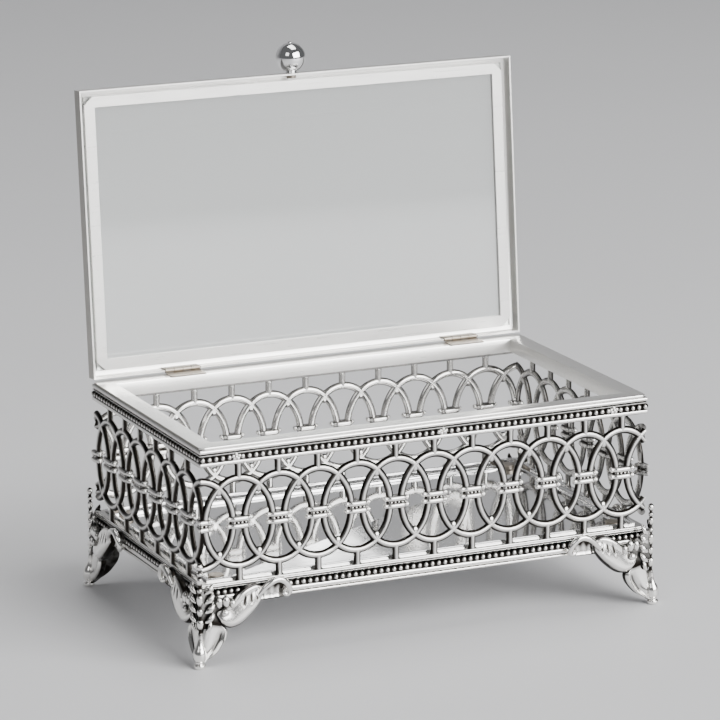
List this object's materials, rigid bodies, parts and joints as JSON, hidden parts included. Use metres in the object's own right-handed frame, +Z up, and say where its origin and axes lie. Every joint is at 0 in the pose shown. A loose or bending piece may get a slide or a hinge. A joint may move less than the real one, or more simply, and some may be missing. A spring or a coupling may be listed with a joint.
{
  "type": "footed trinket box with hinged glass lid",
  "caption": "Small cast-metal vanity box with oval-link fretwork walls on leafy corner feet, a polished floor tray and a hinged glass lid that opens just past upright.",
  "frame": {"origin": "on the surface the feet stand on, under the middle of the whole object's width and depth as it stands with its lid open", "axes": "+Z up, +Y from the front of the box towards its hinges, +X to the right seen from the front"},
  "size_m": [0.1782, 0.1218, 0.1907],
  "materials": {
    "silver_casting": "silver-plated casting, bright on the high spots and dark in the recesses",
    "silver_sheet": "silver-plated sheet, softly brushed",
    "polished_tray": "mirror polish",
    "polished_knob": "mirror polish",
    "clear_glass": "clear, with faintly green edges",
    "steel": "plain bright steel"
  },
  "bodies": {
    "box": {"front_panel": "silver_casting", "rear_panel": "silver_casting", "left_panel": "silver_casting", "right_panel": "silver_casting", "front_ledge": "silver_sheet", "rear_ledge": "silver_sheet", "left_ledge": "silver_sheet", "right_ledge": "silver_sheet", "floor_tray": "polished_tray", "foot_front_left": "silver_casting", "foot_front_right": "silver_casting", "foot_rear_left": "silver_casting", "foot_rear_right": "silver_casting", "foot_screws": "steel", "left_hinge_box_leaf": "silver_sheet", "left_hinge_pin": "steel", "right_hinge_box_leaf": "silver_sheet", "right_hinge_pin": "steel"},
    "lid": {"lid_frame": "silver_sheet", "lid_glass": "clear_glass", "glass_retainer": "silver_sheet", "knob": "polished_knob", "knob_screw": "steel", "left_hinge_lid_leaf": "silver_sheet", "right_hinge_lid_leaf": "silver_sheet"}
  },
  "joints": [
    {"name": "lid_hinge", "type": "hinge", "parent": "box", "child": "lid", "pos_m": [0, 0.04433, 0.07705], "axis": [1, 0, 0], "range_deg": [0, 95]}
  ]
}
